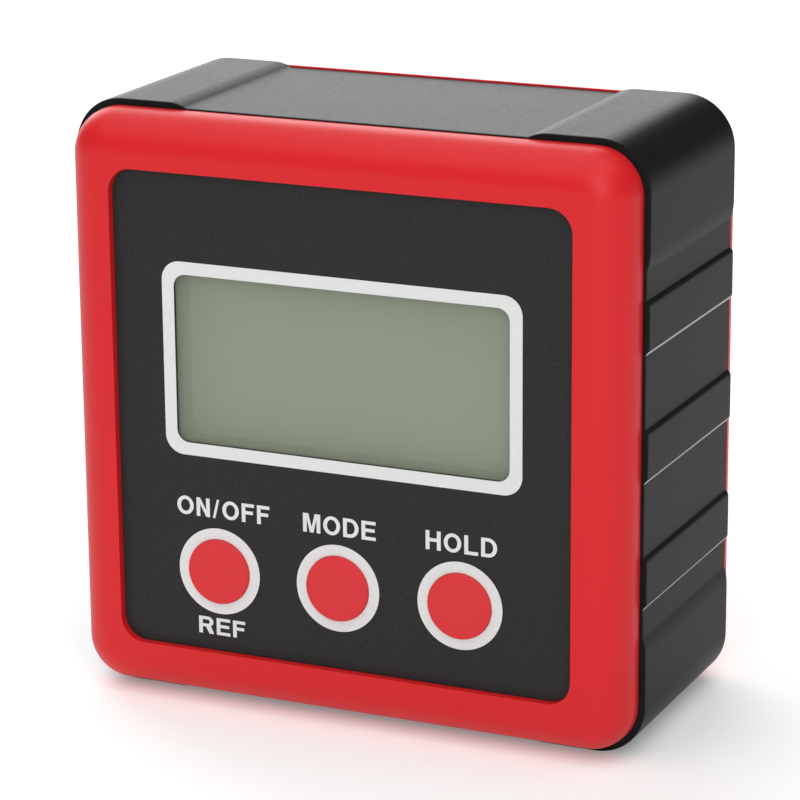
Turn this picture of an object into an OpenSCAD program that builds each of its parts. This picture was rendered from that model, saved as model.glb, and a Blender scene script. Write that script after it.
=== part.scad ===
// Digital angle gauge: an extruded aluminium case between a moulded front bezel and a rear cover,
// with a display, three keys, a circuit board and two cells behind a sliding door.
// Sizes are in millimetres. X runs to the right, Y from the front to the rear, and Z up.
// The origin is the middle of the base.

/* [Case] */
// Width and height of the case across its corner pads
case_size = 54; // [48:0.5:62]
// Length of the extruded body from front to rear
body_depth = 21; // [20:0.5:26]
// Radius of the outer corners of the body
corner_r = 4.6; // [3.5:0.1:5]
// Wall of the body at the pads
wall = 2.2; // [1.8:0.1:2.4]

/* [Pads and ribs] */
// Length of each corner pad, from the side of the case to the end of its flat
pad_len = 9.2; // [8:0.1:11]
// Run of the curved slope from a pad down to the recess
slope_run = 1.8; // [1:0.1:2.5]
// Depth of the recess in the left and right sides
side_recess = 0.3; // [0.2:0.05:0.6]
// Depth of the recess in the top and in the base
cap_recess = 0.45; // [0.2:0.05:0.7]
// Number of grip ribs on each side
rib_count = 3; // [2:1:3]
// Width of a rib at its crest
rib_w = 4; // [2:0.1:5]
// Distance of the outer ribs from the ends of the recess
rib_margin = 4.8; // [4:0.1:6]
// Run of the bevel on each flank of a rib
rib_bevel = 0.36; // [0.2:0.02:0.8]

/* [Front bezel] */
// Height of the bezel in front of the body
bezel_depth = 4; // [3.8:0.1:5]
// How far the bezel lies inside the pads
bezel_inset = 0.6; // [0.3:0.1:1]
// Radius of the corners of the bezel, seen from the front
bezel_corner_r = 4.1; // [3.5:0.1:5]
// Radius of the soft outer edge of the bezel
bezel_edge_r = 3.6; // [1.5:0.1:3.7]
// Width of the red frame round the overlay
bezel_frame_w = 4.7; // [4.2:0.1:5.5]
// Corner radius of the opening for the overlay
opening_r = 2.2; // [1:0.1:3]
// Thickness of the panel behind the overlay
panel_t = 1.5; // [1.2:0.1:1.8]

/* [Overlay and window] */
// How far the overlay lies below the front of the bezel
overlay_sink = 0.7; // [0.4:0.1:1]
// Thickness of the overlay
overlay_t = 0.3; // [0.2:0.05:0.4]
// Border of the display glass at each side of the clear window
window_side = 2.15; // [1.8:0.05:3]
// Border of the display glass above and below the clear window
window_end = 2.4; // [2.2:0.1:3]
// Corner radius of the window
window_r = 0.9; // [0.5:0.1:2]
// Distance of the window from the upper side of the overlay
window_top = 9.1; // [7:0.1:9.5]
// Border of the clear plate behind the edge of the overlay
lens_border = 1.2; // [0.8:0.1:1.5]
// Thickness of the clear plate
lens_t = 0.8; // [0.5:0.1:1]

/* [Keys] */
// Diameter of a key cap
key_d = 5.94; // [4.5:0.02:6.5]
// Distance of the outer keys from the sides of the overlay
key_side = 10.1; // [9:0.1:11]
// Distance of the keys from the lower side of the overlay
key_low = 7.5; // [7:0.1:8.2]
// Sideways place of the middle key
key_shift = -0.4; // [-0.6:0.1:0.6]
// Height of a key cap above the overlay
key_proud = 0.35; // [0.1:0.05:0.5]
// Radius of the front edge of a key cap
key_edge_r = 0.18; // [0.05:0.01:0.3]
// Travel of a key
key_travel = 0.25; // [0.15:0.01:0.4]
// Width of the flange that keeps a key behind the panel
key_flange = 0.75; // [0.5:0.05:1]
// Thickness of that flange
key_flange_t = 0.8; // [0.5:0.1:1]
// Side of a square switch
switch_w = 6; // [5:0.1:6.5]
// Height of a switch without its plunger
switch_h = 3.5; // [3.4:0.1:4.5]
// Diameter of a switch plunger
plunger_d = 3.4; // [2.5:0.1:4]
// Height of a plunger above its switch
plunger_h = 0.9; // [0.6:0.1:1.2]
// Length of a plunger inside its switch
plunger_sink = 0.5; // [0.3:0.1:0.8]

/* [Display] */
// Distance of the display glass from the sides of the case
glass_inset = 9; // [8.8:0.1:10]
// Height of the display glass as a share of its width
glass_share = 0.555; // [0.52:0.005:0.57]
// Thickness of each of the two glasses
glass_t = 1.1; // [0.7:0.1:1.2]
// Width of the contact ledge above and below the rear glass
ledge_w = 1.8; // [1.6:0.1:2]
// Thickness of the lip that holds the display in its frame
holder_lip = 1.1; // [0.8:0.1:1.2]
// Overlap of that lip on the edge of the glass
holder_grip = 0.7; // [0.4:0.1:0.9]
// Wall of the frame round the display
holder_wall = 1; // [0.8:0.1:1.2]
// Thickness of a rubber contact strip
strip_t = 1.4; // [1:0.1:1.5]

/* [Board] */
// Thickness of the circuit board
board_t = 1.2; // [0.8:0.1:1.6]
// Gap between the board and the walls of the body
board_gap = 0.6; // [0.4:0.1:0.9]
// Distance of the board posts from the side walls
post_inset = 3.3; // [3.2:0.1:3.5]
// Distance of the board posts from the corner blocks
post_gap = 3.3; // [3:0.1:4.5]
// Diameter of a board post
post_d = 3.6; // [3.2:0.1:3.8]
// Side of the square controller chip
controller_w = 10; // [7:0.1:12]
// Height of the controller chip
controller_t = 1.5; // [1:0.1:1.6]
// Side of the square tilt sensor
sensor_w = 4; // [3:0.1:5]
// Height of the tilt sensor
sensor_t = 1; // [0.7:0.1:1.2]
// Height of the sensor below the middle of the board
sensor_drop = 14; // [12:0.5:16]

/* [Cells and contacts] */
// Diameter of a cell
cell_d = 10.5; // [9.5:0.1:10.6]
// Room for the contacts at the ends of the cells; the rest of the bay is the length of an AAA cell
contact_room = 2.7; // [2.4:0.1:4]
// Diameter of the nub
nub_d = 3.8; // [3:0.1:4.2]
// Height of the nub
nub_h = 1; // [0.8:0.1:1.2]
// Gap between the two cells
cell_gap = 0.6; // [0.4:0.1:1]
// Thickness of a contact plate
plate_t = 0.3; // [0.2:0.05:0.4]
// Side of a contact plate
plate_w = 8.4; // [7:0.1:9]
// Width of the tail of a contact plate
tail_w = 2; // [1.5:0.1:3]
// Height of the dimple on a contact plate
dimple_h = 0.3; // [0.2:0.05:0.4]
// Diameter of the spring wire
wire_d = 0.5; // [0.4:0.05:0.6]
// Radius of a contact spring at its plate
spring_r = 2.8; // [2.4:0.1:3.2]
// Radius of a contact spring at its cell
spring_tip_r = 1.8; // [1.5:0.1:2]
// Turns of a contact spring
spring_turns = 2.5; // [2:0.25:2.5]

/* [Rear cover] */
// Height of the rear cover behind the body
cover_depth = 2.5; // [2.5:0.1:3.5]
// How far the rear cover lies inside the pads
cover_inset = 0.3; // [0.2:0.05:1]
// Radius of the outer edge of the rear cover
cover_edge_r = 2.4; // [1:0.1:2.4]
// Wall of the battery bay
bay_wall = 1; // [0.8:0.1:1.2]
// Floor of the battery bay
bay_floor = 1.2; // [0.8:0.1:1.6]
// Thickness of the battery door
door_t = 1.75; // [1.6:0.05:1.8]
// Height of the ledge on which the door runs, above and below the bay
door_ledge = 1.65; // [1.2:0.05:2.5]
// Height of the tongue along each edge of the door
tongue_h = 0.8; // [0.5:0.05:1.2]
// Thickness of that tongue
tongue_t = 0.7; // [0.5:0.05:0.8]
// Distance of the inner end of the door from the side of the case
door_end = 3.1; // [2.9:0.1:3.4]
// Number of finger grooves in the door
groove_count = 5; // [1:1:7]
// Distance from one finger groove to the next
groove_pitch = 1.8; // [1.6:0.1:2.5]
// Width of a finger groove
groove_w = 0.9; // [0.5:0.1:1.2]
// Depth of a finger groove
groove_depth = 0.4; // [0.2:0.05:0.5]
// Height of a finger groove
groove_h = 12; // [6:0.5:16]

/* [Fasteners and magnets] */
// Distance of the case screws from the sides of the case
screw_inset = 5.1; // [5:0.1:5.3]
// Diameter of a case screw
screw_d = 2; // [1.6:0.1:2.2]
// Diameter of its head
screw_head_d = 3.7; // [3:0.1:3.8]
// Height of its head
screw_head_h = 1.1; // [0.8:0.1:1.2]
// Length of a case screw in the bezel
screw_bite = 2.4; // [1.5:0.1:2.6]
// Radius of the corner blocks that hold the screw channels
block_r = 2.6; // [2.2:0.1:2.8]
// Diameter of a board screw
board_screw_d = 1.6; // [1.4:0.1:2]
// Length of a board screw in its post
board_screw_bite = 4; // [2:0.1:4.5]
// Diameter of the head of a board screw
board_head_d = 3; // [2.6:0.1:3.4]
// Height of the head of a board screw
board_head_h = 1; // [0.8:0.1:1.2]
// Diameter of a base magnet
magnet_d = 4.2; // [3:0.1:4.8]
// Thickness of a base magnet
magnet_t = 1.5; // [1:0.1:1.6]
// Distance between the two magnets of a pad
magnet_pitch = 11; // [8:0.5:13]

/* [Clearances] */
// Gap between pieces that are fixed to each other
seat_gap = 0.1; // [0.05:0.01:0.15]
// Gap round a key or a plunger
key_gap = 0.08; // [0.05:0.01:0.1]
// Gap round the sliding door
door_gap = 0.15; // [0.1:0.01:0.2]
// Gap round a screw
screw_gap = 0.05; // [0.02:0.01:0.1]

/* [Hidden] */
$fn = 64;
over = 1;
slope_steps = 6;
half = case_size / 2;

// Places from front to rear
total_depth = bezel_depth + body_depth + cover_depth;
front_y = -total_depth / 2;
rear_y = total_depth / 2;
body_front_y = front_y + bezel_depth;
body_rear_y = body_front_y + body_depth;
overlay_y = front_y + overlay_sink;
panel_front_y = overlay_y + overlay_t;
panel_rear_y = panel_front_y + panel_t;
glass_y = panel_rear_y + holder_lip;
key_front_y = overlay_y - key_proud;
flange_y = panel_rear_y + seat_gap;
key_rear_y = flange_y + key_flange_t;
switch_y = key_rear_y + plunger_h;
board_y = switch_y + switch_h;
board_rear_y = board_y + board_t;
board_screw_tip_y = board_y - board_screw_bite;
door_y = rear_y - door_t;
door_seat_y = door_y - door_gap;
cell_y = door_y - door_gap - cell_d / 2 - seat_gap;
bay_floor_y = cell_y - cell_d / 2 - seat_gap;
screw_seat_y = rear_y - screw_head_h - seat_gap;
screw_tip_y = body_front_y - screw_bite;
tongue_y = door_y + seat_gap;

// Places across the case
recess_half = half - pad_len - slope_run;
inner_half = half - wall;
bezel_size = case_size - 2 * bezel_inset;
opening = bezel_size - 2 * bezel_frame_w;
glass_w = case_size - 2 * glass_inset;
glass_h = glass_w * glass_share;
window_w = glass_w - 2 * window_side;
window_h = glass_h - 2 * window_end;
window_rise = opening / 2 - window_top - window_h / 2;
key_pitch = opening / 2 - key_side;
key_drop = opening / 2 - key_low;
cover_size = case_size - 2 * cover_inset;
cover_corner_r = corner_r - cover_inset + seat_gap;
screw_at = half - screw_inset;
block_edge = screw_at - block_r;
spigot_wall = 1.2;
spigot_len = 2;
spigot_half = block_edge - 4 * seat_gap;
cavity_half = inner_half - seat_gap - spigot_wall - 4 * seat_gap;
lens_w = window_w + 2 * lens_border;
lens_h = window_h + 2 * lens_border;
holder_w = glass_w + 2 * (seat_gap + holder_wall);
holder_h = glass_h + 2 * (seat_gap + holder_wall);
key_r = key_d / 2;
post_at = inner_half - post_inset;
post_rise = block_edge - post_gap;
bay_outer = inner_half - 2 * seat_gap;
bay_half = bay_outer - bay_wall;
bay_h = 2 * cell_d + cell_gap + 4 * seat_gap;
cell_rise = (cell_d + cell_gap) / 2;
cell_len = 2 * bay_half - contact_room;
plate_face = bay_half - plate_t;
nub_x = plate_face - dimple_h - seat_gap / 2;
cell_end = nub_x - cell_len;
spring_len = plate_face + cell_end - seat_gap / 2;
door_h = bay_h + 2 * door_ledge;
door_stop = half - door_end;
magnet_x = half - (corner_r + pad_len) / 2;
magnet_lift = seat_gap / 2;

// A rectangle with round corners, from straight and round pieces
module rounded_rect(w, h, r) {
    square([w - 2 * r, h], center = true);
    square([w, h - 2 * r], center = true);
    for (sx = [-1, 1], sz = [-1, 1])
        translate([sx * (w / 2 - r), sz * (h / 2 - r)]) circle(r);
}

// A flat shape, drawn as seen from the front about the middle of the case, made solid from y0 to y1
module slab(y0, y1) {
    translate([0, y1, half]) rotate([90, 0, 0]) linear_extrude(y1 - y0) children();
}

// A round bar from y0 to y1 at a place measured from the middle of the case
module bar(x, z, r, y0, y1) {
    translate([x, y1, half + z]) rotate([90, 0, 0]) cylinder(h = y1 - y0, r = r);
}

// Copies in the four corners of the case
module corners(at) {
    for (sx = [-1, 1], sz = [-1, 1]) translate([sx * at, 0, sz * at]) children();
}

// Copies at the four board posts
module posts() {
    for (sx = [-1, 1], sz = [-1, 1]) translate([sx * post_at, 0, sz * post_rise]) children();
}

// Section of a rim with a round outer edge
module edge_section(corner, depth, edge) {
    intersection() {
        square([corner, depth]);
        union() {
            square([corner - edge, depth]);
            square([corner, depth - edge]);
            translate([corner - edge, depth - edge]) circle(edge);
        }
    }
}

// A square block with round corners and a soft round edge on its top
module soft_block(size, corner, depth, edge) {
    flat = size / 2 - corner;
    linear_extrude(depth) square(2 * flat, center = true);
    for (turn = [0 : 90 : 270]) rotate(turn) translate([flat, flat, 0]) {
        rotate_extrude(angle = 90) edge_section(corner, depth, edge);
        rotate([90, 0, 0]) linear_extrude(2 * flat) edge_section(corner, depth, edge);
    }
}

// Points of a ramp from the pads down to a recess: a round shoulder in several steps, or one straight bevel
function ramp(x, side, run, drop, steps) =
    let (r = (run * run + drop * drop) / (2 * drop), full = 2 * atan(drop / run))
    [for (i = [0 : steps]) let (a = full * i / steps)
        [x + side * (run - r * sin(a)), half - r * (1 - cos(a))]];

function reversed(list) = [for (i = [len(list) - 1 : -1 : 0]) list[i]];

// One hollow in the outside of the body, between two ramps
module hollow(x0, run0, steps0, x1, run1, steps1, drop) {
    polygon(concat(
        [[x0 - run0, half + over]],
        ramp(x0, -1, run0, drop, steps0),
        reversed(ramp(x1, 1, run1, drop, steps1)),
        [[x1 + run1, half + over]]));
}

// Hollows of one ribbed side, drawn as the upper side
module ribbed_hollows() {
    first = rib_margin - recess_half;
    rib_foot = rib_w / 2 + rib_bevel;
    rib_pitch = 2 * (recess_half - rib_margin) / (rib_count - 1);
    for (i = [0 : rib_count]) {
        left = i == 0 ? -recess_half : first + (i - 1) * rib_pitch + rib_foot;
        right = i == rib_count ? recess_half : first + i * rib_pitch - rib_foot;
        hollow(left, i == 0 ? slope_run : rib_bevel, i == 0 ? slope_steps : 1,
               right, i == rib_count ? slope_run : rib_bevel, i == rib_count ? slope_steps : 1,
               side_recess);
    }
}

// Outline of the extrusion
module body_outline() {
    difference() {
        rounded_rect(case_size, case_size, corner_r);
        for (turn = [0, 180]) {
            rotate(turn)
                hollow(-recess_half, slope_run, slope_steps, recess_half, slope_run, slope_steps, cap_recess);
            rotate(turn + 90) ribbed_hollows();
        }
    }
}

// Block in one corner of the extrusion that holds a screw channel
module corner_block() {
    reach = inner_half + over - screw_at;
    translate([screw_at, screw_at]) {
        circle(block_r);
        translate([-block_r, 0]) square([reach + block_r, reach]);
        translate([0, -block_r]) square([reach, reach + block_r]);
    }
}

// Inside of the extrusion
module body_inside() {
    difference() {
        square(2 * inner_half, center = true);
        for (turn = [0 : 90 : 270]) rotate(turn) corner_block();
    }
}

module body_frame() {
    color("dimgray") difference() {
        slab(body_front_y, body_rear_y) difference() {
            body_outline();
            body_inside();
        }
        corners(screw_at) bar(0, 0, screw_d / 2 + seat_gap, body_front_y - over, body_rear_y + over);
        for (sx = [-1, 1], sy = [-1, 1])
            translate([sx * magnet_x, (body_front_y + body_rear_y) / 2 + sy * magnet_pitch / 2, -over])
                cylinder(h = over + magnet_lift + magnet_t + seat_gap / 2, r = magnet_d / 2 + seat_gap / 2);
    }
}

module base_magnets() {
    color("silver") for (sx = [-1, 1], sy = [-1, 1])
        translate([sx * magnet_x, (body_front_y + body_rear_y) / 2 + sy * magnet_pitch / 2, magnet_lift])
            cylinder(h = magnet_t, r = magnet_d / 2);
}

// Sideways place of one key of the row
function key_x(i) = key_shift + i * key_pitch;

// Holes that guide the keys
module key_bores(y0, y1) {
    for (i = [-1 : 1]) bar(key_x(i), -key_drop, key_r + key_gap, y0, y1);
}

// Low walls that centre a moulding inside the body, top and base, and the sides where wanted
module spigot(y0, y1, sides) {
    outer = inner_half - seat_gap;
    slab(y0, y1) for (turn = sides)
        rotate(turn) translate([-spigot_half, outer - spigot_wall]) square([2 * spigot_half, spigot_wall]);
}

module front_bezel() {
    color("crimson") {
        difference() {
            translate([0, body_front_y, half]) rotate([90, 0, 0])
                soft_block(bezel_size, bezel_corner_r, bezel_depth, bezel_edge_r);
            slab(front_y - over, panel_front_y) rounded_rect(opening, opening, opening_r);
            slab(panel_rear_y, body_front_y + over) difference() {
                square(2 * cavity_half, center = true);
                for (turn = [0 : 90 : 270]) rotate(turn) corner_block();
            }
            slab(front_y, body_front_y) translate([0, window_rise]) square([lens_w, lens_h], center = true);
            key_bores(front_y, body_front_y);
            corners(screw_at) bar(0, 0, screw_d / 2 + screw_gap, screw_tip_y - seat_gap, body_front_y + over);
        }
        spigot(body_front_y, body_front_y + spigot_len, [0 : 90 : 270]);
        difference() {
            posts() bar(0, 0, post_d / 2, panel_rear_y, board_y);
            posts() bar(0, 0, board_screw_d / 2 + screw_gap, board_screw_tip_y - seat_gap, board_y + over);
        }
    }
}

module front_overlay() {
    size = opening - seat_gap;
    color([0.14, 0.14, 0.14]) difference() {
        slab(overlay_y, panel_front_y) difference() {
            rounded_rect(size, size, opening_r - seat_gap / 2);
            translate([0, window_rise]) rounded_rect(window_w, window_h, window_r);
        }
        key_bores(overlay_y - over, panel_front_y + over);
    }
}

module display_window() {
    color([0.8, 0.9, 0.9, 0.3]) slab(panel_front_y, panel_front_y + lens_t)
        translate([0, window_rise]) square([lens_w - 2 * seat_gap, lens_h - 2 * seat_gap], center = true);
}

module lcd_panel() {
    color([0.55, 0.59, 0.51]) {
        slab(glass_y, glass_y + glass_t)
            translate([0, window_rise]) square([glass_w, glass_h], center = true);
        slab(glass_y + glass_t, glass_y + 2 * glass_t)
            translate([0, window_rise]) square([glass_w, glass_h - 2 * ledge_w], center = true);
    }
}

module lcd_holder() {
    color("white") difference() {
        slab(panel_rear_y, board_y)
            translate([0, window_rise]) square([holder_w, holder_h], center = true);
        slab(panel_rear_y - over, glass_y + over)
            translate([0, window_rise])
                square([glass_w - 2 * holder_grip, glass_h - 2 * holder_grip], center = true);
        slab(glass_y, board_y + over)
            translate([0, window_rise])
                square([glass_w + 2 * seat_gap, glass_h + 2 * seat_gap], center = true);
    }
}

module contact_strips() {
    strip_len = glass_w - 2 * ledge_w;
    color("lightgray") slab(glass_y + glass_t, board_y) for (side = [-1, 1])
        translate([0, window_rise + side * (glass_h - ledge_w) / 2])
            square([strip_len, strip_t], center = true);
}

module main_board() {
    wide = inner_half - board_gap;
    clear = block_edge - board_gap;
    color("darkgreen") difference() {
        slab(board_y, board_rear_y) {
            square([2 * wide, 2 * clear], center = true);
            square([2 * clear, 2 * wide], center = true);
        }
        posts() bar(0, 0, board_screw_d / 2 + seat_gap, board_y - over, board_rear_y + over);
    }
}

module microcontroller() {
    color([0.12, 0.12, 0.13]) slab(board_rear_y, board_rear_y + controller_t)
        translate([0, window_rise]) square(controller_w, center = true);
}

module tilt_sensor() {
    color([0.2, 0.2, 0.22]) slab(board_rear_y, board_rear_y + sensor_t)
        translate([0, -sensor_drop]) square(sensor_w, center = true);
}

module key_switches() {
    color([0.15, 0.15, 0.15]) difference() {
        slab(switch_y, board_y) for (i = [-1 : 1])
            translate([key_x(i), -key_drop]) square(switch_w, center = true);
        for (i = [-1 : 1])
            bar(key_x(i), -key_drop, plunger_d / 2 + key_gap, switch_y - over,
                switch_y + plunger_sink + key_travel + seat_gap);
    }
}

// Key cap, turned about its own axis: a disc with a soft front edge and a flange behind the panel
module key_cap(i) {
    cap_h = flange_y - key_front_y;
    color("red") translate([key_x(i), flange_y, half - key_drop]) rotate([90, 0, 0]) {
        rotate_extrude() edge_section(key_r, cap_h, key_edge_r);
        translate([0, 0, -key_flange_t]) cylinder(h = key_flange_t, r = key_r + key_flange);
    }
}

module plunger(i) {
    color("ivory") bar(key_x(i), -key_drop, plunger_d / 2, key_rear_y, switch_y + plunger_sink);
}

module on_off_button() { key_cap(-1); }
module mode_button() { key_cap(0); }
module hold_button() { key_cap(1); }
module on_off_plunger() { plunger(-1); }
module mode_plunger() { plunger(0); }
module hold_plunger() { plunger(1); }

module board_screws() {
    color("silver") posts() {
        bar(0, 0, board_screw_d / 2, board_screw_tip_y, board_rear_y + board_head_h / 2);
        bar(0, 0, board_head_d / 2, board_rear_y, board_rear_y + board_head_h);
    }
}

module cover_form() {
    translate([0, body_rear_y, half]) rotate([-90, 0, 0])
        soft_block(cover_size, cover_corner_r, cover_depth, cover_edge_r);
}

// Space of the door and its tongues in the rear cover, or the door itself with no gap
module door_space(gap, left) {
    slab(door_y - gap, rear_y + over)
        translate([left, -door_h / 2 - gap]) square([door_stop + gap - left, door_h + 2 * gap]);
    slab(tongue_y - gap, tongue_y + tongue_t + gap)
        translate([left, -door_h / 2 - tongue_h - gap])
            square([door_stop + gap - left, door_h + 2 * (tongue_h + gap)]);
}

module rear_cover() {
    tail_x = -bay_half - seat_gap;
    color("crimson") {
        difference() {
            union() {
                cover_form();
                slab(bay_floor_y - bay_floor, body_rear_y + over)
                    square([2 * bay_outer, bay_h + 2 * bay_wall], center = true);
            }
            door_space(door_gap, -half - over);
            slab(bay_floor_y, rear_y + over) square([2 * bay_half, bay_h], center = true);
            slab(bay_floor_y - bay_floor - over, bay_floor_y + over) for (side = [-1, 1])
                translate([tail_x, side * cell_rise - tail_w / 2 - seat_gap])
                    square([plate_t + 3 * seat_gap, tail_w + 2 * seat_gap]);
            corners(screw_at) {
                bar(0, 0, screw_d / 2 + seat_gap, body_rear_y - over, rear_y);
                bar(0, 0, screw_head_d / 2 + seat_gap, screw_seat_y, rear_y + over);
            }
        }
        spigot(body_rear_y - spigot_len, body_rear_y, [0, 180]);
    }
}

module battery_door() {
    groove_x = door_stop - 4 * groove_pitch;
    color("firebrick") difference() {
        intersection() {
            cover_form();
            door_space(0, -half);
        }
        for (i = [0 : groove_count - 1])
            slab(rear_y - groove_depth, rear_y + over) translate([groove_x - i * groove_pitch, 0])
                square([groove_w, groove_h], center = true);
    }
}

// Cell from the flat end at x = 0 to the tip of its nub
module cell() {
    rotate([0, 90, 0]) {
        cylinder(h = cell_len - nub_h, r = cell_d / 2);
        cylinder(h = cell_len, r = nub_d / 2);
    }
}

module battery_upper() {
    color("goldenrod") translate([-cell_end, cell_y, half + cell_rise]) mirror([1, 0, 0]) cell();
}

module battery_lower() {
    color("goldenrod") translate([cell_end, cell_y, half - cell_rise]) cell();
}

// Contact plate against one end of the bay; side is 1 on the right and -1 on the left
module contact_plate(side, height) {
    low = side > 0 ? plate_face : -bay_half;
    translate([low, cell_y - plate_w / 2, -height / 2]) cube([plate_t, plate_w, height]);
}

// Dimple that meets the nub of a cell
module dimple(side) {
    translate([side * plate_face, cell_y, 0]) rotate([0, -90 * side, 0])
        cylinder(h = dimple_h, r1 = nub_d / 2, r2 = nub_d / 3);
}

// Tail that carries a contact to the board
module contact_tail() {
    translate([-bay_half, board_rear_y, -tail_w / 2]) cube([plate_t, cell_y - board_rear_y, tail_w]);
}

module link_plate() {
    color("lightgray") translate([0, 0, half]) {
        contact_plate(1, 2 * cell_rise + plate_w);
        translate([0, 0, -cell_rise]) dimple(1);
    }
}

module positive_plate() {
    color("lightgray") translate([0, 0, half + cell_rise]) {
        contact_plate(-1, plate_w);
        dimple(-1);
        contact_tail();
    }
}

module negative_plate() {
    color("lightgray") translate([0, 0, half - cell_rise]) {
        contact_plate(-1, plate_w);
        contact_tail();
    }
}

// Cone-shaped spring along X from its wide end: rings of points round the wire, joined by triangles
module cone_spring() {
    sides = 8;
    rings = round(spring_turns * 16);
    rise = spring_len - wire_d;
    points = [for (i = [0 : rings], k = [0 : sides - 1])
        let (t = i / rings,
             turn = 360 * spring_turns * t,
             r = spring_r + (spring_tip_r - spring_r) * t + wire_d / 2 * cos(360 * k / sides),
             x = wire_d / 2 + rise * t + wire_d / 2 * sin(360 * k / sides))
        [x, r * cos(turn), r * sin(turn)]];
    skin = [for (i = [0 : rings - 1], k = [0 : sides - 1])
        let (a = i * sides + k, b = i * sides + (k + 1) % sides)
        each [[a, b, b + sides], [a, b + sides, a + sides]]];
    ends = [[for (k = [sides - 1 : -1 : 0]) k], [for (k = [0 : sides - 1]) rings * sides + k]];
    polyhedron(points, concat(skin, ends));
}

module contact_springs() {
    color("silver") {
        translate([plate_face, cell_y, half + cell_rise]) mirror([1, 0, 0]) cone_spring();
        translate([-plate_face, cell_y, half - cell_rise]) cone_spring();
    }
}

// Case screw with a cross recess in its head
module case_screws() {
    slot_w = screw_head_d / 6;
    color("silver") corners(screw_at) difference() {
        union() {
            bar(0, 0, screw_d / 2, screw_tip_y, screw_seat_y + screw_head_h / 2);
            bar(0, 0, screw_head_d / 2, screw_seat_y, screw_seat_y + screw_head_h);
        }
        slab(screw_seat_y + screw_head_h / 2, rear_y + over) {
            square([slot_w, screw_head_d * 0.65], center = true);
            square([screw_head_d * 0.65, slot_w], center = true);
        }
    }
}

body_frame();
front_bezel();
front_overlay();
display_window();
lcd_panel();
lcd_holder();
contact_strips();
main_board();
microcontroller();
tilt_sensor();
key_switches();
on_off_button();
mode_button();
hold_button();
on_off_plunger();
mode_plunger();
hold_plunger();
board_screws();
rear_cover();
battery_door();
battery_upper();
battery_lower();
link_plate();
positive_plate();
negative_plate();
contact_springs();
case_screws();
base_magnets();
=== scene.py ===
import math
import bpy
from mathutils import Matrix, Vector


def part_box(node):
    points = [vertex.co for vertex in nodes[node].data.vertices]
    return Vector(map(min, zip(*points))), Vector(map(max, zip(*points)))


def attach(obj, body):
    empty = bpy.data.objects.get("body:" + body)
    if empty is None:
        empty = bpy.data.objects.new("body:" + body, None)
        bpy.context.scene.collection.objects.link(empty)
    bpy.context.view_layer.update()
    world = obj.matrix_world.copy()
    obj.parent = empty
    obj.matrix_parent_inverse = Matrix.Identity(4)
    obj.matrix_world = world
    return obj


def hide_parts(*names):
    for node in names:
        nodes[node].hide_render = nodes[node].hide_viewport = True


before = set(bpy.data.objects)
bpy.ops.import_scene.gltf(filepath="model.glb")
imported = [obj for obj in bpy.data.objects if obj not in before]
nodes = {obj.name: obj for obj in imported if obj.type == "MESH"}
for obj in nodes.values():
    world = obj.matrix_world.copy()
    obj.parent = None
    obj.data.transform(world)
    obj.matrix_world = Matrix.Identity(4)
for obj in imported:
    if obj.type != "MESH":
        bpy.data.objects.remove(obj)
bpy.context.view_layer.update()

mm = 0.001
print("frame loaded:", len(nodes), "nodes")


# small helpers for selecting and modelling
meshSettings = {"weld": 0.002 * mm, "flatDegrees": 0.4, "flatWeight": 100}


def deselectAll():
    if bpy.context.object and bpy.context.object.mode != "OBJECT":
        bpy.ops.object.mode_set(mode="OBJECT")
    bpy.ops.object.select_all(action="DESELECT")


def makeActive(piece):
    deselectAll()
    piece.select_set(True)
    bpy.context.view_layer.objects.active = piece


def applyPlace(piece):
    makeActive(piece)
    bpy.ops.object.transform_apply(location=True, rotation=True, scale=True)


def selectEdges(piece, test):
    # edit mode, edge select: keeps only the edges whose two ends pass the test
    bpy.ops.object.mode_set(mode="EDIT")
    bpy.ops.mesh.select_mode(type="EDGE")
    bpy.ops.mesh.select_all(action="DESELECT")
    bpy.ops.object.mode_set(mode="OBJECT")
    points = piece.data.vertices
    for edge in piece.data.edges:
        a, b = (points[i].co for i in edge.vertices)
        edge.select = test(a, b)
    bpy.ops.object.mode_set(mode="EDIT")


def finishPiece(piece, name, body, slot, material, *replaced):
    piece.name = name
    piece.data.name = name
    piece.data.materials.clear()
    piece.data.materials.append(material)
    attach(piece, body)
    if replaced:
        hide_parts(*replaced)


def mergedCopy(nodeName):
    # a copy of a CAD node with its triangles joined up again into flat faces and smooth rounds
    makeActive(nodes[nodeName])
    bpy.ops.object.duplicate()
    piece = bpy.context.object
    for key in list(piece.keys()):
        del piece[key]
    piece.parent = None
    makeActive(piece)
    bpy.ops.object.mode_set(mode="EDIT")
    bpy.ops.mesh.select_all(action="SELECT")
    bpy.ops.mesh.remove_doubles(threshold=meshSettings["weld"])
    bpy.ops.mesh.customdata_custom_splitnormals_clear()
    bpy.ops.mesh.dissolve_limited(angle_limit=math.radians(meshSettings["flatDegrees"]))
    bpy.ops.object.mode_set(mode="OBJECT")
    return piece


def smoothShade(piece, degrees):
    makeActive(piece)
    bpy.ops.object.shade_smooth_by_angle(angle=math.radians(degrees))
    # large flat faces keep their own direction, so that only the rounds are shaded as round
    bpy.ops.object.modifier_add(type="WEIGHTED_NORMAL")
    piece.modifiers[-1].keep_sharp = True
    piece.modifiers[-1].weight = meshSettings["flatWeight"]
    bpy.ops.object.modifier_apply(modifier=piece.modifiers[-1].name)


# node helpers for the materials
noiseSettings = {"grainDetail": 6.0, "glossDetail": 4.0, "colorLow": 0.35, "colorHigh": 0.65,
                 "glossLow": 0.3, "glossHigh": 0.7, "relief": 0.02 * mm}


def newMaterial(name):
    material = bpy.data.materials.new(name)
    material.use_nodes = True
    tree = material.node_tree
    return material, tree, tree.nodes["Principled BSDF"]


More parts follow.
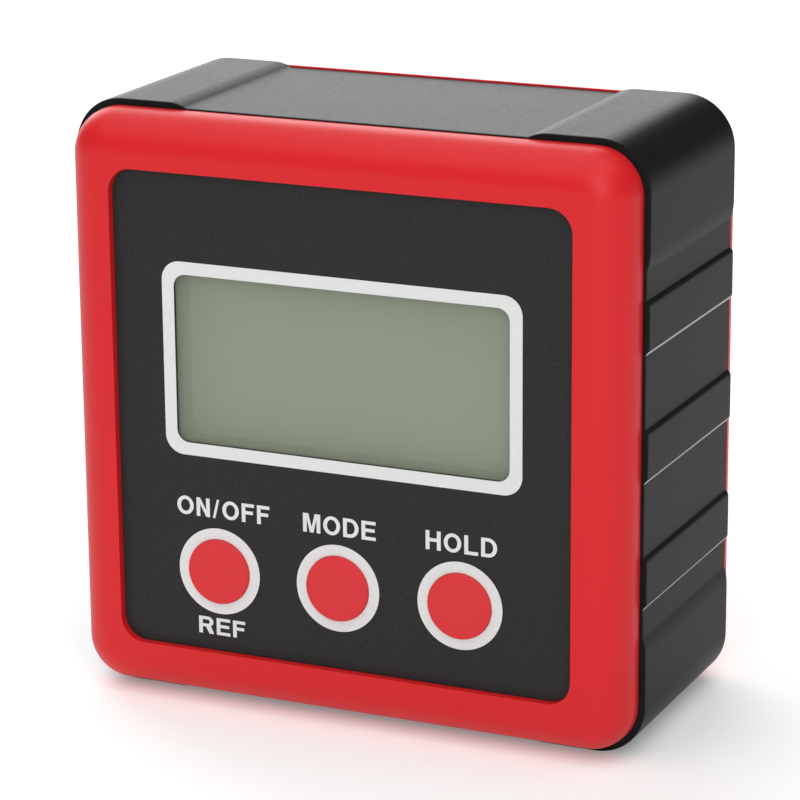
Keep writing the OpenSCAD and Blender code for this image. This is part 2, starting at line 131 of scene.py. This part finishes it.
def objectNoise(tree, scale, detail):
    coords = tree.nodes.new("ShaderNodeTexCoord")
    noise = tree.nodes.new("ShaderNodeTexNoise")
    noise.inputs["Scale"].default_value = scale
    noise.inputs["Detail"].default_value = detail
    tree.links.new(coords.outputs["Object"], noise.inputs["Vector"])
    return noise


def colorBetween(tree, shader, source, low, high, start, stop):
    ramp = tree.nodes.new("ShaderNodeValToRGB")
    ramp.color_ramp.elements[0].position = start
    ramp.color_ramp.elements[0].color = low
    ramp.color_ramp.elements[1].position = stop
    ramp.color_ramp.elements[1].color = high
    tree.links.new(source, ramp.inputs["Fac"])
    tree.links.new(ramp.outputs["Color"], shader.inputs["Base Color"])


def addGloss(tree, shader, noise, values):
    spread = tree.nodes.new("ShaderNodeMapRange")
    spread.inputs["From Min"].default_value = noiseSettings["glossLow"]
    spread.inputs["From Max"].default_value = noiseSettings["glossHigh"]
    spread.inputs["To Min"].default_value = values["rough"] - values["roughSpread"]
    spread.inputs["To Max"].default_value = values["rough"] + values["roughSpread"]
    tree.links.new(noise.outputs["Fac"], spread.inputs["Value"])
    tree.links.new(spread.outputs["Result"], shader.inputs["Roughness"])


def addBump(tree, shader, noise, strength):
    bump = tree.nodes.new("ShaderNodeBump")
    bump.inputs["Strength"].default_value = strength
    bump.inputs["Distance"].default_value = noiseSettings["relief"]
    tree.links.new(noise.outputs["Fac"], bump.inputs["Height"])
    tree.links.new(bump.outputs["Normal"], shader.inputs["Normal"])


def finish(name, values):
    # a surface with a fine grain: colour, gloss and relief all follow one noise
    material, tree, shader = newMaterial(name)
    noise = objectNoise(tree, values["grain"], noiseSettings["grainDetail"])
    low = [max(c * (1 - values["spread"]), 0) for c in values["color"]] + [1]
    high = [min(c * (1 + values["spread"]), 1) for c in values["color"]] + [1]
    colorBetween(tree, shader, noise.outputs["Fac"], low, high,
                 noiseSettings["colorLow"], noiseSettings["colorHigh"])
    addGloss(tree, shader, noise, values)
    addBump(tree, shader, noise, values["bump"])
    shader.inputs["Metallic"].default_value = values.get("metallic", 0.0)
    shader.inputs["Specular IOR Level"].default_value = values.get("specular", 0.5)
    return material


# finishes of the case, the keys, the print and the inside
caseFinish = {"color": (0.011, 0.011, 0.0125), "spread": 0.30, "rough": 0.42, "roughSpread": 0.05,
              "grain": 4600, "bump": 0.16, "specular": 0.0625}
# painted glint: a pale colour for the down-facing rib edges, standing for the floor's light they catch
glintEdgeFinish = {"color": (0.50, 0.50, 0.51), "spread": 0.10, "rough": 0.45, "roughSpread": 0.05,
              "grain": 4600, "bump": 0.05, "specular": 0.33}
redFinish = {"color": (0.725, 0.015, 0.019), "spread": 0.02, "rough": 0.42, "roughSpread": 0.04,
             "grain": 4200, "bump": 0.05, "specular": 0.29}
keyFinish = {"color": (0.738, 0.035, 0.041), "spread": 0.02, "rough": 0.55, "roughSpread": 0.04,
             "grain": 4200, "bump": 0.05, "specular": 0.295}
filmFinish = {"color": (0.021, 0.021, 0.021), "spread": 0.30, "rough": 0.60, "roughSpread": 0.06,
              "grain": 5200, "bump": 0.20, "specular": 0.235}
printFinish = {"color": (0.806, 0.806, 0.806), "spread": 0.03, "rough": 0.60, "roughSpread": 0.04,
               "grain": 5200, "bump": 0.08, "specular": 0.235}
whiteFinish = {"color": (0.74, 0.74, 0.71), "spread": 0.03, "rough": 0.5, "roughSpread": 0.05,
               "grain": 2500, "bump": 0.05, "specular": 0.4}
rubberFinish = {"color": (0.32, 0.32, 0.33), "spread": 0.10, "rough": 0.75, "roughSpread": 0.05,
                "grain": 2500, "bump": 0.10, "specular": 0.3}
boardFinish = {"color": (0.012, 0.13, 0.045), "spread": 0.15, "rough": 0.35, "roughSpread": 0.06,
               "grain": 1200, "bump": 0.08, "specular": 0.5}
chipFinish = {"color": (0.022, 0.022, 0.023), "spread": 0.20, "rough": 0.55, "roughSpread": 0.06,
              "grain": 4200, "bump": 0.10, "specular": 0.4}
steelFinish = {"color": (0.56, 0.56, 0.55), "spread": 0.06, "rough": 0.30, "roughSpread": 0.06,
               "grain": 2400, "bump": 0.06, "metallic": 1.0}
contactFinish = {"color": (0.62, 0.61, 0.57), "spread": 0.06, "rough": 0.24, "roughSpread": 0.06,
                 "grain": 1800, "bump": 0.04, "metallic": 1.0}
magnetFinish = {"color": (0.68, 0.68, 0.67), "spread": 0.05, "rough": 0.20, "roughSpread": 0.06,
                "grain": 900, "bump": 0.04, "metallic": 1.0}

caseMetal = finish("caseMetal", caseFinish)
paintedEdgeGlint = finish("paintedEdgeGlint", glintEdgeFinish)
redPlastic = finish("redPlastic", redFinish)
keyPlastic = finish("keyPlastic", keyFinish)
blackFilm = finish("blackFilm", filmFinish)
whitePrint = finish("whitePrint", printFinish)
whitePlastic = finish("whitePlastic", whiteFinish)
stripRubber = finish("stripRubber", rubberFinish)
boardResist = finish("boardResist", boardFinish)
chipPlastic = finish("chipPlastic", chipFinish)
plainSteel = finish("plainSteel", steelFinish)
contactSteel = finish("contactSteel", contactFinish)
magnetPlate = finish("magnetPlate", magnetFinish)

# the plate over the display has a light tint, which evens out the shade in the deep window
clearFinish = {"color": (0.383, 0.445, 0.333), "alpha": 0.30, "rough": 0.25, "roughSpread": 0.03,
               "grain": 600}


def makeClearPlate(values):
    material, tree, shader = newMaterial("clearPlate")
    noise = objectNoise(tree, values["grain"], noiseSettings["glossDetail"])
    addGloss(tree, shader, noise, values)
    shader.inputs["Base Color"].default_value = (*values["color"], 1)
    shader.inputs["Alpha"].default_value = values["alpha"]
    return material


clearPlate = makeClearPlate(clearFinish)

# the edge colour is the darker margin: partly the display's own border, partly painted shade under the
# window's edge
displayFinish = {"color": (0.415, 0.486, 0.366, 1), "edge": (0.331, 0.400, 0.298, 1), "rough": 0.45,
                 "roughSpread": 0.03, "specular": 0.235, "grain": 900, "margin": 1.1 * mm, "corner": 0.9 * mm,
                 "soft": 0.08 * mm}


def vectorStep(tree, source, operation, value):
    step = tree.nodes.new("ShaderNodeVectorMath")
    step.operation = operation
    step.inputs[1].default_value = value
    tree.links.new(source, step.inputs[0])
    return step.outputs["Vector"]


def makeDisplayGlass(values):
    # grey-green glass, a little darker on the margin round its viewing area, which has round corners; the
    # darker margin is partly the display's own border and partly painted shade, the shade that falls under
    # the window's edge
    material, tree, shader = newMaterial("displayGlass")
    low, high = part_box("display_window")
    inset = values["margin"] + values["corner"]
    coords = tree.nodes.new("ShaderNodeTexCoord")
    place = vectorStep(tree, coords.outputs["Object"], "SUBTRACT", (low + high) / 2)
    place = vectorStep(tree, place, "MULTIPLY", (1, 0, 1))
    place = vectorStep(tree, place, "ABSOLUTE", (0, 0, 0))
    place = vectorStep(tree, place, "SUBTRACT", (high - low) / 2 - Vector((inset, 0, inset)))
    place = vectorStep(tree, place, "MAXIMUM", (0, 0, 0))
    reach = tree.nodes.new("ShaderNodeVectorMath")
    reach.operation = "LENGTH"
    tree.links.new(place, reach.inputs[0])
    # mask of the darker margin, partly painted shade under the window's edge
    outside = tree.nodes.new("ShaderNodeMapRange")
    outside.inputs["From Min"].default_value = values["corner"] - values["soft"]
    outside.inputs["From Max"].default_value = values["corner"] + values["soft"]
    tree.links.new(reach.outputs["Value"], outside.inputs["Value"])
    colorBetween(tree, shader, outside.outputs["Result"], values["color"], values["edge"], 0.0, 1.0)
    noise = objectNoise(tree, values["grain"], noiseSettings["glossDetail"])
    addGloss(tree, shader, noise, values)
    shader.inputs["Specular IOR Level"].default_value = values["specular"]
    return material


displayGlass = makeDisplayGlass(displayFinish)

cellFinish = {"sleeve": (0.035, 0.04, 0.05, 1), "band": (0.60, 0.36, 0.08, 1), "can": (0.62, 0.62, 0.60, 1),
              "bandShare": 0.26, "nubShare": 0.045, "footShare": 0.0225, "rough": 0.28, "roughSpread": 0.05,
              "grain": 1500}


def makeCellSleeve(name, node, nubSide, values):
    # a plain sleeve with one coloured band at the nub end and bare metal at both ends
    material, tree, shader = newMaterial(name)
    low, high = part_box(node)
    coords = tree.nodes.new("ShaderNodeTexCoord")
    split = tree.nodes.new("ShaderNodeSeparateXYZ")
    along = tree.nodes.new("ShaderNodeMapRange")
    along.inputs["From Min"].default_value = low.x if nubSide > 0 else high.x
    along.inputs["From Max"].default_value = high.x if nubSide > 0 else low.x
    ramp = tree.nodes.new("ShaderNodeValToRGB")
    ramp.color_ramp.interpolation = "CONSTANT"
    ramp.color_ramp.elements[0].color = values["can"]
    ramp.color_ramp.elements[1].position = values["footShare"]
    ramp.color_ramp.elements[1].color = values["sleeve"]
    ramp.color_ramp.elements.new(1 - values["bandShare"]).color = values["band"]
    ramp.color_ramp.elements.new(1 - values["nubShare"]).color = values["can"]
    tree.links.new(coords.outputs["Object"], split.inputs["Vector"])
    tree.links.new(split.outputs["X"], along.inputs["Value"])
    tree.links.new(along.outputs["Result"], ramp.inputs["Fac"])
    tree.links.new(ramp.outputs["Color"], shader.inputs["Base Color"])
    noise = objectNoise(tree, values["grain"], noiseSettings["glossDetail"])
    addGloss(tree, shader, noise, values)
    return material


upperSleeve = makeCellSleeve("upperSleeve", "battery_upper", -1, cellFinish)
lowerSleeve = makeCellSleeve("lowerSleeve", "battery_lower", 1, cellFinish)
print("materials made:", len(bpy.data.materials))


# CAD nodes that keep their own shape get their finish here
keptNodes = {
    "display_window": clearPlate, "lcd_panel": displayGlass, "lcd_holder": whitePlastic,
    "contact_strips": stripRubber, "main_board": boardResist, "microcontroller": chipPlastic,
    "tilt_sensor": chipPlastic, "key_switches": chipPlastic, "on_off_plunger": whitePlastic,
    "mode_plunger": whitePlastic, "hold_plunger": whitePlastic, "board_screws": plainSteel,
    "link_plate": contactSteel, "positive_plate": contactSteel, "negative_plate": contactSteel,
    "front_overlay": blackFilm,
}
for nodeName, material in keptNodes.items():
    nodes[nodeName].data.materials.clear()
    nodes[nodeName].data.materials.append(material)
print("CAD nodes finished:", len(keptNodes))


# case body: the extrusion with its sawn ends and the crests of its ribs lightly broken
bodySettings = {"bevel": 0.16 * mm, "segments": 2, "smooth": 30, "shell": 1.9 * mm, "touch": 0.01 * mm,
                "ribShare": 0.25, "glintNormalLow": -0.8, "glintNormalHigh": -0.3}
body = mergedCopy("body_frame")
bodyLow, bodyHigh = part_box("body_frame")
bodyMiddle = bodyHigh.z / 2


def nearRibs(z):
    return abs(z - bodyMiddle) < bodyHigh.z * bodySettings["ribShare"]


def onBodyEnd(a, b):
    onFront = max(abs(a.y - bodyLow.y), abs(b.y - bodyLow.y)) < bodySettings["touch"]
    onRear = max(abs(a.y - bodyHigh.y), abs(b.y - bodyHigh.y)) < bodySettings["touch"]
    # both ends on the outside, so an edge across the flat end face is left alone
    outer = min(max(abs(p.x), abs(p.z - bodyMiddle)) for p in (a, b)) > bodyHigh.x - bodySettings["shell"]
    return (onFront or onRear) and outer


def onRibCrest(a, b):
    along = abs(a.y - b.y) > (bodyHigh.y - bodyLow.y) / 2
    onSide = min(abs(a.x), abs(b.x)) > bodyHigh.x - bodySettings["touch"]
    return along and onSide and nearRibs(a.z)


selectEdges(body, lambda a, b: onBodyEnd(a, b) or onRibCrest(a, b))
bpy.ops.mesh.bevel(offset=bodySettings["bevel"], segments=bodySettings["segments"], affect="EDGES")
smoothShade(body, bodySettings["smooth"])
finishPiece(body, "caseBody", "case", "case_metal", caseMetal, "body_frame")
# the lower, down-facing edges of the ribs get a pale painted glint, which stands for the floor's light caught
# on these edges
body.data.materials.append(paintedEdgeGlint)
for face in body.data.polygons:
    onSide = abs(face.center.x) > bodyHigh.x - bodySettings["shell"]
    facesDown = bodySettings["glintNormalLow"] < face.normal.z < bodySettings["glintNormalHigh"]
    if nearRibs(face.center.z) and onSide and facesDown:
        face.material_index = 1
print("case body made")

# mouldings and turned pieces: smooth rounds with crisp edges
mouldingSettings = {"smooth": 35}
mouldings = {
    "frontBezel": {"node": "front_bezel", "body": "case", "slot": "red_plastic", "material": redPlastic},
    "rearCover": {"node": "rear_cover", "body": "case", "slot": "red_plastic", "material": redPlastic},
    "batteryDoor": {"node": "battery_door", "body": "door", "slot": "red_plastic", "material": redPlastic},
    "onOffKey": {"node": "on_off_button", "body": "on_off_key", "slot": "key_plastic",
                 "material": keyPlastic},
    "modeKey": {"node": "mode_button", "body": "mode_key", "slot": "key_plastic", "material": keyPlastic},
    "holdKey": {"node": "hold_button", "body": "hold_key", "slot": "key_plastic", "material": keyPlastic},
    "upperCell": {"node": "battery_upper", "body": "case", "slot": "cell_sleeve", "material": upperSleeve},
    "lowerCell": {"node": "battery_lower", "body": "case", "slot": "cell_sleeve", "material": lowerSleeve},
    "caseScrews": {"node": "case_screws", "body": "case", "slot": "screw_steel", "material": plainSteel},
    "contactSprings": {"node": "contact_springs", "body": "case", "slot": "contact_steel",
                       "material": contactSteel},
    "baseMagnets": {"node": "base_magnets", "body": "case", "slot": "magnet_plating",
                    "material": magnetPlate},
}
for name, values in mouldings.items():
    piece = mergedCopy(values["node"])
    smoothShade(piece, mouldingSettings["smooth"])
    finishPiece(piece, name, values["body"], values["slot"], values["material"], values["node"])
print("mouldings made:", len(mouldings))


# print on the overlay: one white frame, three rings and the words of the keys
printSettings = {"face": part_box("front_overlay")[0].y, "thick": 0.02 * mm, "gap": 0.004 * mm,
                 "weld": 0.0005 * mm}


def arc(centreX, centreY, radiusX, radiusY, start, stop, steps):
    turns = [math.radians(start + (stop - start) * i / steps) for i in range(steps + 1)]
    return [(centreX + radiusX * math.cos(t), centreY + radiusY * math.sin(t)) for t in turns]


def oval(centreX, centreY, radiusX, radiusY, steps):
    return arc(centreX, centreY, radiusX, radiusY, 0, 360, steps)[:-1]


def roundedLoop(width, height, radius, steps):
    loop = []
    for quarter, (sideX, sideY) in enumerate(((1, 1), (-1, 1), (-1, -1), (1, -1))):
        loop += arc(sideX * (width / 2 - radius), sideY * (height / 2 - radius), radius, radius,
                    90 * quarter, 90 * quarter + 90, steps)
    return loop


def flatPrint(loops, place):
    # closed outlines filled as one flat shape, stood up on the overlay with the thickness of ink
    outline = bpy.data.curves.new("outline", "CURVE")
    outline.dimensions = "2D"
    outline.fill_mode = "BOTH"
    for loop in loops:
        spline = outline.splines.new("POLY")
        spline.points.add(len(loop) - 1)
        for point, (x, y) in zip(spline.points, loop):
            point.co = (x, y, 0, 1)
        spline.use_cyclic_u = True
    flat = bpy.data.objects.new("outline", outline)
    bpy.context.collection.objects.link(flat)
    makeActive(flat)
    bpy.ops.object.convert(target="MESH")
    flat = bpy.context.object
    bpy.ops.object.mode_set(mode="EDIT")
    bpy.ops.mesh.select_all(action="SELECT")
    bpy.ops.mesh.remove_doubles(threshold=printSettings["weld"])
    bpy.ops.mesh.extrude_region_move(TRANSFORM_OT_translate={"value": (0, 0, printSettings["thick"])})
    bpy.ops.mesh.select_all(action="SELECT")
    bpy.ops.mesh.normals_make_consistent(inside=False)
    bpy.ops.object.mode_set(mode="OBJECT")
    flat.rotation_euler = (math.pi / 2, 0, 0)
    flat.location = (place[0], printSettings["face"] - printSettings["gap"], place[1])
    applyPlace(flat)
    return flat


frameSettings = {"line": 1.15 * mm, "outerRadius": 1.75 * mm, "innerRadius": 1.15 * mm,
                 "lensBorder": 1.1 * mm, "cornerSteps": 12}
windowLow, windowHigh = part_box("display_window")
windowCentre = (windowLow + windowHigh) / 2
windowWidth = windowHigh.x - windowLow.x - 2 * frameSettings["lensBorder"]
windowHeight = windowHigh.z - windowLow.z - 2 * frameSettings["lensBorder"]
frameLoops = [
    roundedLoop(windowWidth + 2 * frameSettings["line"], windowHeight + 2 * frameSettings["line"],
                frameSettings["outerRadius"], frameSettings["cornerSteps"]),
    roundedLoop(windowWidth, windowHeight, frameSettings["innerRadius"], frameSettings["cornerSteps"]),
]
displayFrame = flatPrint(frameLoops, (windowCentre.x, windowCentre.z))
finishPiece(displayFrame, "displayFrame", "case", "white_plastic", whitePrint)

ringSettings = {"outer": 3.98 * mm, "holeGap": 0.03 * mm, "keyFlange": 0.75 * mm, "steps": 96}
keyPlaces = {}
for keyName in ("on_off", "mode", "hold"):
    keyLow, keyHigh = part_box(keyName + "_button")
    keyPlaces[keyName] = ((keyLow.x + keyHigh.x) / 2, (keyLow.z + keyHigh.z) / 2)
    holeRadius = (keyHigh.x - keyLow.x) / 2 - ringSettings["keyFlange"] + ringSettings["holeGap"]
    ringLoops = [oval(0, 0, radius, radius, ringSettings["steps"])
                 for radius in (ringSettings["outer"], holeRadius)]
    ring = flatPrint(ringLoops, keyPlaces[keyName])
    finishPiece(ring, keyName.replace("_", "") + "Ring", "case", "white_plastic", whitePrint)

# bold letters drawn as outlines in a cell one unit high: stems, bars and bowls from few shares
letterSettings = {"stem": 0.21, "bar": 0.18, "gap": 0.165, "cap": 1.72 * mm, "armLift": 0.02,
                  "ovalSteps": 40, "bowlSteps": 20, "hookSteps": 16, "eyeSteps": 12}
letterWidths = {"O": 0.948, "N": 0.767, "/": 0.39, "F": 0.71, "R": 0.86, "E": 0.785, "M": 0.971, "D": 0.86,
                "H": 0.823, "L": 0.745}
stem = letterSettings["stem"]
bar = letterSettings["bar"]
armLow = 0.5 - bar / 2 + letterSettings["armLift"]
armHigh = armLow + bar


def letterO(w):
    steps = letterSettings["ovalSteps"]
    return [oval(w / 2, 0.5, w / 2, 0.5, steps), oval(w / 2, 0.5, w / 2 - stem, 0.5 - bar, steps)]


def letterN(w):
    drop = 0.66
    return [[(0, 0), (stem, 0), (stem, drop), (w - stem, 0), (w, 0), (w, 1), (w - stem, 1),
             (w - stem, 1 - drop), (stem, 1), (0, 1)]]


def letterSlash(w):
    foot = stem * 0.66
    return [[(0, 0), (foot, 0), (w, 1), (w - foot, 1)]]


def letterF(w):
    arm = w * 0.9
    return [[(0, 0), (stem, 0), (stem, armLow), (arm, armLow), (arm, armHigh), (stem, armHigh),
             (stem, 1 - bar), (w, 1 - bar), (w, 1), (0, 1)]]


def letterE(w):
    arm = w * 0.93
    return [[(0, 0), (w, 0), (w, bar), (stem, bar), (stem, armLow), (arm, armLow), (arm, armHigh),
             (stem, armHigh), (stem, 1 - bar), (w, 1 - bar), (w, 1), (0, 1)]]


def letterL(w):
    return [[(0, 0), (w, 0), (w, bar), (stem, bar), (stem, 1), (0, 1)]]


def letterH(w):
    return [[(0, 0), (stem, 0), (stem, armLow), (w - stem, armLow), (w - stem, 0), (w, 0), (w, 1),
             (w - stem, 1), (w - stem, armHigh), (stem, armHigh), (stem, 1), (0, 1)]]


def letterM(w):
    shoulder = stem * 1.45
    point = stem * 0.48
    inside = 0.74
    valley = 0.28
    return [[(0, 0), (stem, 0), (stem, inside), (w / 2 - point, 0), (w / 2 + point, 0), (w - stem, inside),
             (w - stem, 0), (w, 0), (w, 1), (w - shoulder, 1), (w / 2, valley), (shoulder, 1), (0, 1)]]


def letterD(w):
    bowl = 0.47
    steps = letterSettings["bowlSteps"]
    outer = [(0, 0)] + arc(w - bowl, 0.5, bowl, 0.5, -90, 90, steps) + [(0, 1)]
    inner = arc(w - bowl, 0.5, bowl - stem, 0.5 - bar, -90, 90, steps)
    return [outer, [(stem, bar)] + inner + [(stem, 1 - bar)]]


def letterR(w):
    bowl = 0.30
    tuck = 0.03
    centre = w - bowl - tuck
    waist = 0.39
    legInside = centre - stem * 0.6
    legOutside = centre + stem * 0.75
    legFoot = stem * 1.25
    legRise = 0.04
    hookStart = -60
    outer = [(0, 0), (stem, 0), (stem, waist), (legInside, waist), (w - legFoot, 0), (w, 0),
             (legOutside, waist + legRise)]
    outer += arc(centre, 1 - bowl, bowl, bowl, hookStart, 90, letterSettings["hookSteps"]) + [(0, 1)]
    inner = arc(centre, (1 + waist) / 2, bowl - stem, (1 - waist) / 2 - bar, -90, 90,
                letterSettings["eyeSteps"])
    return [outer, [(stem, waist + bar)] + inner + [(stem, 1 - bar)]]


letterShapes = {"O": letterO, "N": letterN, "/": letterSlash, "F": letterF, "R": letterR, "E": letterE,
                "M": letterM, "D": letterD, "H": letterH, "L": letterL}
words = {
    "wordOnOff": {"letters": "ON/OFF", "key": "on_off", "shift": 0.50 * mm, "rise": 5.79 * mm, "tall": 1.0},
    "wordRef": {"letters": "REF", "key": "on_off", "shift": 0.13 * mm, "rise": -5.21 * mm, "tall": 0.92},
    "wordMode": {"letters": "MODE", "key": "mode", "shift": 0.21 * mm, "rise": 5.68 * mm, "tall": 1.0},
    "wordHold": {"letters": "HOLD", "key": "hold", "shift": 0.16 * mm, "rise": 5.61 * mm, "tall": 1.0},
}
for name, values in words.items():
    wordWidth = sum(letterWidths[letter] + letterSettings["gap"] for letter in values["letters"])
    left = (letterSettings["gap"] - wordWidth) / 2
    wordLoops = []
    for letter in values["letters"]:
        for loop in letterShapes[letter](letterWidths[letter]):
            wordLoops.append([((left + x) * letterSettings["cap"],
                               (y - 0.5) * letterSettings["cap"] * values["tall"]) for x, y in loop])
        left += letterWidths[letter] + letterSettings["gap"]
    keyX, keyZ = keyPlaces[values["key"]]
    word = flatPrint(wordLoops, (keyX + values["shift"], keyZ + values["rise"]))
    finishPiece(word, name, "case", "white_plastic", whitePrint)
print("print laid on the overlay:", 1 + len(keyPlaces) + len(words), "pieces")


# pale floor, a large overhead light, a small front light and a light behind the left
stageSettings = {"floorSize": 8.0, "floorColor": (0.94, 0.94, 0.94, 1), "floorRough": 0.9,
                 "floorSpecular": 0.0, "floorDrop": 0.02 * mm, "floorLift": 0.2, "white": (1, 1, 1, 1),
                 "world": 0.096}
floorPaper, floorTree, floorShader = newMaterial("floorPaper")
floorShader.inputs["Base Color"].default_value = stageSettings["floorColor"]
floorShader.inputs["Roughness"].default_value = stageSettings["floorRough"]
floorShader.inputs["Specular IOR Level"].default_value = stageSettings["floorSpecular"]
# camera, mirror and glass rays see the floor a little lighter, so it is white and keeps the shadow
rays = floorTree.nodes.new("ShaderNodeLightPath")
lift = rays.outputs["Is Camera Ray"]
for rayKind in ("Is Glossy Ray", "Is Transmission Ray"):
    seen = floorTree.nodes.new("ShaderNodeMath")
    seen.operation = "MAXIMUM"
    floorTree.links.new(lift, seen.inputs[0])
    floorTree.links.new(rays.outputs[rayKind], seen.inputs[1])
    lift = seen.outputs["Value"]
strength = floorTree.nodes.new("ShaderNodeMath")
strength.operation = "MULTIPLY"
strength.inputs[1].default_value = stageSettings["floorLift"]
floorTree.links.new(lift, strength.inputs[0])
floorTree.links.new(strength.outputs["Value"], floorShader.inputs["Emission Strength"])
floorShader.inputs["Emission Color"].default_value = stageSettings["white"]
deselectAll()
bpy.ops.mesh.primitive_plane_add(size=stageSettings["floorSize"],
                                 location=(0, 0, -stageSettings["floorDrop"]))
floor = bpy.context.object
floor.name = "floor"
floor.data.materials.append(floorPaper)

world = bpy.data.worlds.new("studio")
bpy.context.scene.world = world
world.use_nodes = True
world.node_tree.nodes["Background"].inputs["Color"].default_value = stageSettings["white"]
world.node_tree.nodes["Background"].inputs["Strength"].default_value = stageSettings["world"]

lampSettings = {
    "topLamp": {"place": (0.0, -0.35, 1.4), "width": 2.0, "height": 2.0, "power": 19.2},
    "frontLamp": {"place": (0.46, -1.0, 0.48), "width": 0.7, "height": 0.7, "power": 4.96},
    "rearLamp": {"place": (-0.60, 0.80, 0.45), "width": 1.0, "height": 0.88, "power": 8.8},
}
aim = Vector((0, 0, bodyMiddle))
for name, values in lampSettings.items():
    place = Vector(values["place"])
    deselectAll()
    bpy.ops.object.light_add(type="AREA", location=place)
    lamp = bpy.context.object
    lamp.name = name
    lamp.data.shape = "RECTANGLE"
    lamp.data.size = values["width"]
    lamp.data.size_y = values["height"]
    lamp.data.energy = values["power"]
    lamp.rotation_euler = (aim - place).to_track_quat("-Z", "Y").to_euler()

# camera at the photograph's view
cameraSettings = {"place": (123.86 * mm, -270.71 * mm, 112.32 * mm), "azimuth": 24.633, "elevation": 16.084,
                  "roll": -0.477, "lens": 155.97, "sensor": 36.0, "clip": 10 * mm}
deselectAll()
bpy.ops.object.camera_add(location=cameraSettings["place"])
camera = bpy.context.object
camera.name = "photoCamera"
camera.data.lens = cameraSettings["lens"]
camera.data.sensor_width = cameraSettings["sensor"]
camera.data.clip_start = cameraSettings["clip"]
turn = Matrix.Rotation(math.radians(cameraSettings["azimuth"]), 4, "Z")
tilt = Matrix.Rotation(math.pi / 2 - math.radians(cameraSettings["elevation"]), 4, "X")
roll = Matrix.Rotation(math.radians(cameraSettings["roll"]), 4, "Z")
camera.rotation_euler = (turn @ tilt @ roll).to_euler()
bpy.context.scene.camera = camera
bpy.context.scene.view_settings.view_transform = "Standard"
print("stage, lamps and camera set")
